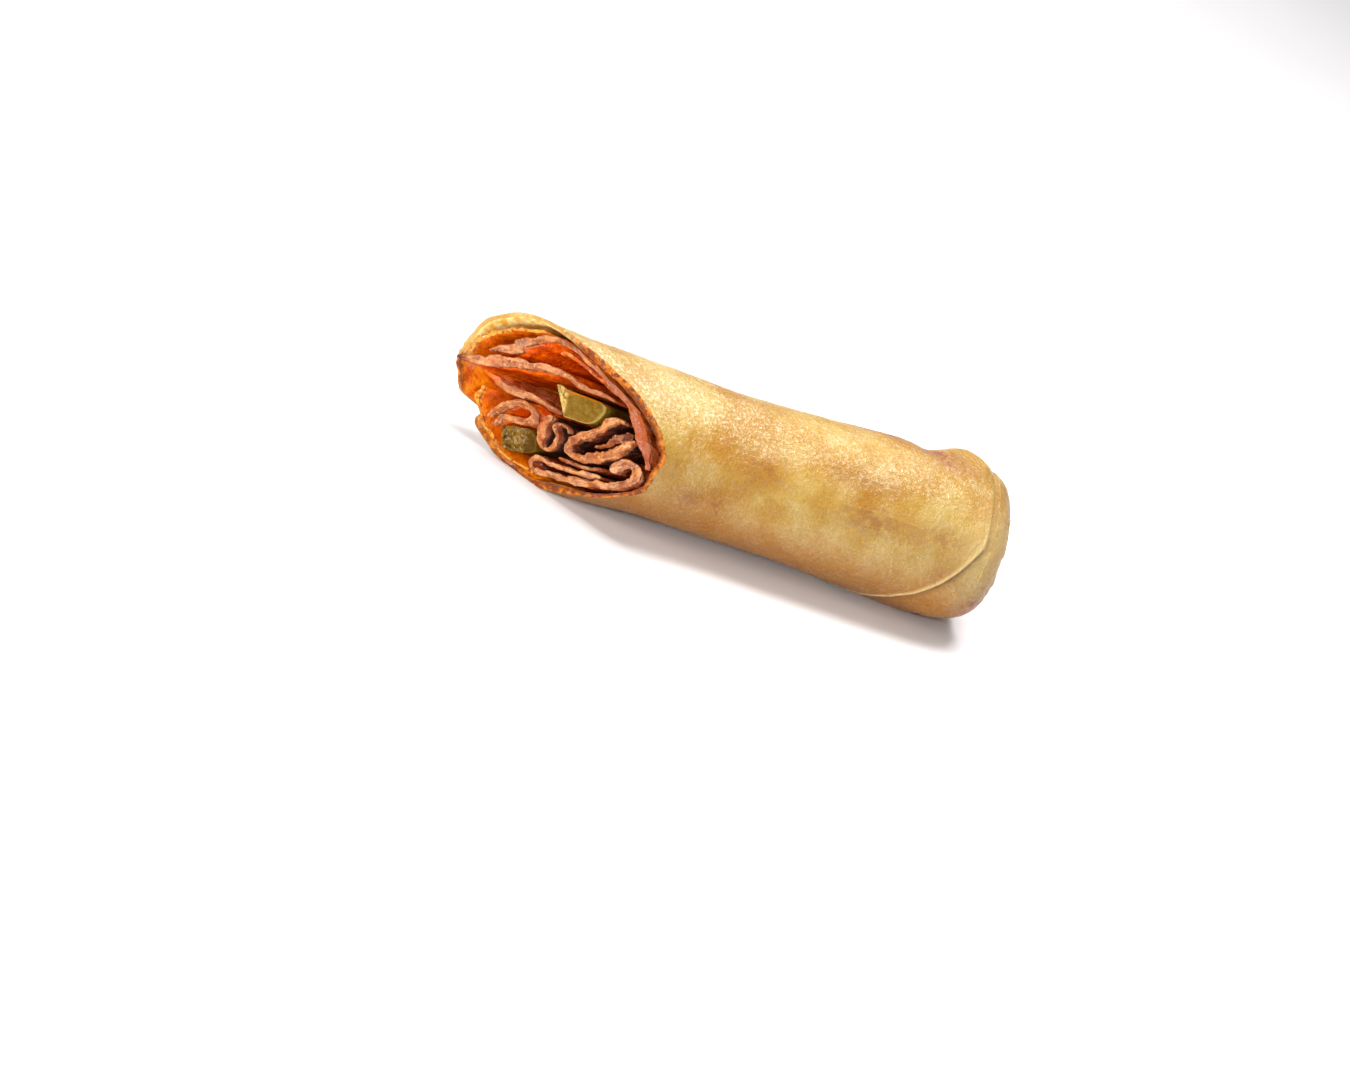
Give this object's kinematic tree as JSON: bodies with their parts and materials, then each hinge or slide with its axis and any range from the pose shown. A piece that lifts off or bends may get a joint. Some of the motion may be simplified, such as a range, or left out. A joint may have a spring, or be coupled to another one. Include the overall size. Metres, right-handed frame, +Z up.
{
  "type": "doner spring roll",
  "caption": "Fried pastry roll with one tucked end and one end cut on the slant, filled with folded slices of doner meat and pieces of gherkin.",
  "frame": {"origin": "middle of the footprint, on the surface that the roll lies on", "axes": "+X along the roll towards its tucked end, +Z up; the slanting cut faces -X and -Y"},
  "size_m": [0.1132, 0.0324, 0.0332],
  "materials": {
    "pastry": "fried pastry, golden, finely blistered, a little oily",
    "pastry_inner_turn": "inner turns of the pastry, soaked orange by the filling, browned at the cut edge",
    "doner_meat": "thin slices of cooked meat, tan at the cut, red-brown and moist between the folds",
    "gherkin": "pickled gherkin, olive, moist"
  },
  "bodies": {
    "root": {"pastry_wrapper": "pastry", "pastry_turn_upper": "pastry_inner_turn", "pastry_turn_lower": "pastry_inner_turn", "doner_slice_1": "doner_meat", "doner_slice_2": "doner_meat", "doner_slice_3": "doner_meat", "doner_slice_4": "doner_meat", "doner_slice_5": "doner_meat", "doner_slice_6": "doner_meat", "doner_slice_7": "doner_meat", "doner_slice_8": "doner_meat", "doner_slice_9": "doner_meat", "doner_slice_10": "doner_meat", "gherkin_piece_1": "gherkin", "gherkin_piece_2": "gherkin"}
  },
  "joints": []
}
